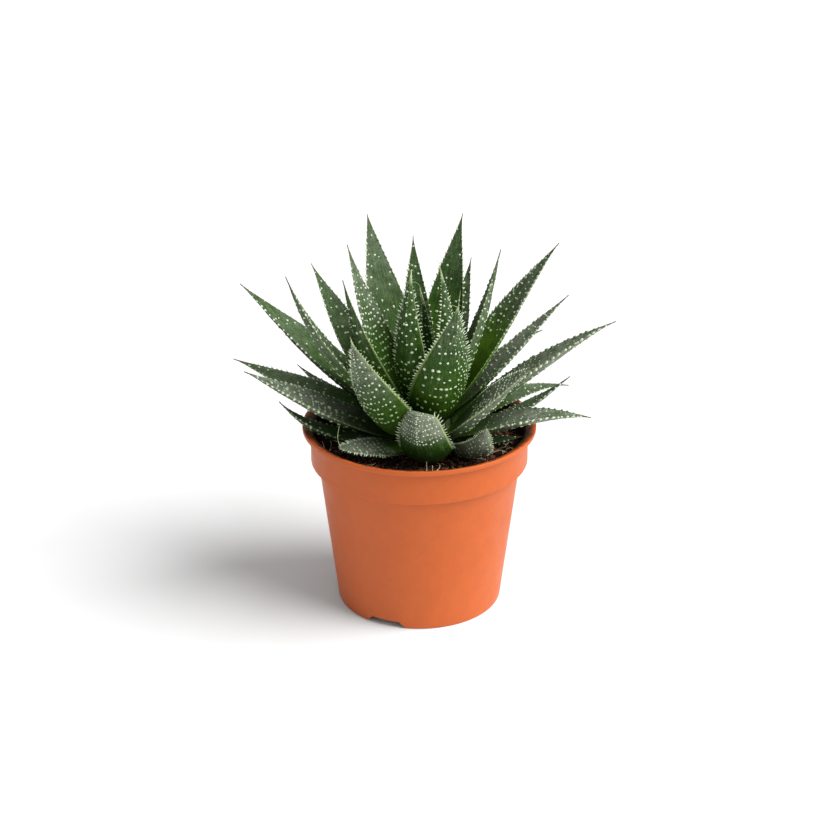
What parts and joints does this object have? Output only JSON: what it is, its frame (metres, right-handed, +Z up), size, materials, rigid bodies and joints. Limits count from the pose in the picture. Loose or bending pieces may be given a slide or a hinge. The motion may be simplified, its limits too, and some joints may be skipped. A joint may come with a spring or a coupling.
{
  "type": "potted lace aloe",
  "caption": "Succulent rosette of toothed, white-spotted pointed leaves on a short stem in soil, in a round terracotta-coloured plastic nursery pot.",
  "frame": {"origin": "on the pot's axis, level with the foot of the pot", "axes": "+Z up along the pot's axis, +X to the right of the pictured front, -Y towards the pictured front"},
  "size_m": [0.1944, 0.122, 0.1923],
  "materials": {
    "pot_plastic": "satin moulded terracotta-coloured plastic",
    "potting_soil": "damp dark peat with fibres",
    "stem_bark": "rough dry plant tissue",
    "leaf_green": "waxy dark green with raised white spots",
    "young_leaf_green": "waxy fresh green with raised white spots"
  },
  "bodies": {
    "root": {"pot": "pot_plastic", "potting_soil": "potting_soil", "stem": "stem_bark", "leaf_01": "leaf_green", "leaf_02": "leaf_green", "leaf_03": "leaf_green", "leaf_04": "leaf_green", "leaf_05": "leaf_green", "leaf_06": "leaf_green", "leaf_07": "leaf_green", "leaf_08": "leaf_green", "leaf_09": "leaf_green", "leaf_10": "leaf_green", "leaf_11": "leaf_green", "leaf_12": "leaf_green", "leaf_13": "leaf_green", "leaf_14": "leaf_green", "leaf_15": "leaf_green", "leaf_16": "leaf_green", "leaf_17": "leaf_green", "leaf_18": "leaf_green", "leaf_19": "leaf_green", "leaf_20": "leaf_green", "leaf_21": "leaf_green", "leaf_22": "leaf_green", "leaf_23": "leaf_green", "leaf_24": "leaf_green", "leaf_25": "young_leaf_green", "leaf_26": "young_leaf_green", "leaf_27": "young_leaf_green", "leaf_28": "leaf_green", "leaf_29": "leaf_green", "leaf_30": "leaf_green", "leaf_31": "leaf_green", "leaf_32": "leaf_green", "leaf_33": "leaf_green", "leaf_34": "leaf_green", "leaf_35": "leaf_green", "leaf_36": "leaf_green", "leaf_37": "leaf_green", "leaf_38": "leaf_green", "leaf_39": "leaf_green"}
  },
  "joints": []
}
